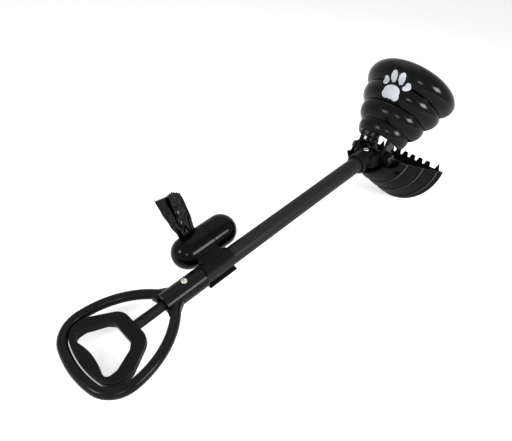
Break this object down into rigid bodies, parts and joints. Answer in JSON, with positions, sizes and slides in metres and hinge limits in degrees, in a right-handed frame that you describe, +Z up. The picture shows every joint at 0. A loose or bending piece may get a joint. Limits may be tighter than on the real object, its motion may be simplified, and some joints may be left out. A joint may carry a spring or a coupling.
{
  "type": "pooper scooper",
  "caption": "Long handled jaw scooper: a trigger in the loop handle slides a rod in the tube and swings two scoop jaws; a bag dispenser clips on the tube.",
  "frame": {"origin": "centre of the bounding box on the floor, with the tool laid down on its loop and its lower jaw", "axes": "+X runs from the handle to the jaws along the floor, +Y across the tool towards the bag dispenser, +Z up; the tube rises 12.23 degrees from +X"},
  "size_m": [0.5992, 0.1324, 0.2338],
  "materials": {
    "handle_black": "semi gloss black moulded plastic",
    "trigger_black": "semi gloss black moulded plastic",
    "tube_coat": "satin black coating",
    "bracket_black": "satin black moulded plastic",
    "upper_gloss": "high gloss black moulded plastic",
    "lower_satin": "satin black moulded plastic",
    "bright_steel": "bright nickel plated steel",
    "rod_steel": "plain zinc plated steel",
    "bush_plastic": "natural moulded plastic",
    "capsule_gloss": "gloss black moulded plastic",
    "bag_film": "thin wrinkled black film",
    "core_paper": "plain grey brown card"
  },
  "bodies": {
    "frame": {"handle_frame": "handle_black", "tube": "tube_coat", "socket_screw": "bright_steel", "head_screw": "bright_steel", "rear_bush": "bush_plastic", "front_bush": "bush_plastic", "head_bracket": "bracket_black", "hinge_bolt": "bright_steel", "hinge_nut": "bright_steel", "left_spacer": "bush_plastic", "right_spacer": "bush_plastic"},
    "trigger": {"trigger_grip": "trigger_black", "rod_pin": "bright_steel", "pull_rod": "rod_steel", "clevis_pin": "bright_steel", "draw_plate": "rod_steel", "upper_drive_pin": "bright_steel", "upper_drive_nut": "bright_steel", "lower_drive_pin": "bright_steel", "lower_drive_nut": "bright_steel"},
    "upper_scoop": {"upper_jaw": "upper_gloss"},
    "lower_scoop": {"lower_jaw": "lower_satin"},
    "dispenser": {"dispenser_clip": "capsule_gloss", "dispenser_body": "capsule_gloss", "bag_tail": "bag_film"},
    "cap": {"dispenser_cap": "capsule_gloss"},
    "roll": {"bag_roll": "bag_film", "roll_core": "core_paper"}
  },
  "joints": [
    {"name": "trigger_slide", "type": "slide", "parent": "frame", "child": "trigger", "axis": [0.9773, 0, 0.2118], "range_m": [0, 0.01376]},
    {"name": "upper_jaw_hinge", "type": "hinge", "parent": "frame", "child": "upper_scoop", "pos_m": [0.17375, 0, 0.10713], "axis": [0, 1, 0], "range_deg": [0, 32]},
    {"name": "lower_jaw_hinge", "type": "hinge", "parent": "frame", "child": "lower_scoop", "pos_m": [0.17375, 0, 0.10713], "axis": [0, 1, 0], "range_deg": [-32, 0]},
    {"name": "dispenser_slide", "type": "slide", "parent": "frame", "child": "dispenser", "axis": [0.9773, 0, 0.2118], "range_m": [0, 0.18]},
    {"name": "cap_turn", "type": "hinge", "parent": "dispenser", "child": "cap", "pos_m": [-0.084, 0.035, 0.05946], "axis": [0.9773, 0, 0.2118], "range_deg": [0, 540]},
    {"name": "roll_spin", "type": "hinge", "parent": "dispenser", "child": "roll", "pos_m": [-0.10746, 0.035, 0.05438], "axis": [0.9773, 0, 0.2118], "continuous": true}
  ],
  "couplings": [
    {"joint": "upper_jaw_hinge", "follows": "trigger_slide", "rad_per_m": 40.577},
    {"joint": "lower_jaw_hinge", "follows": "trigger_slide", "rad_per_m": -40.577}
  ]
}
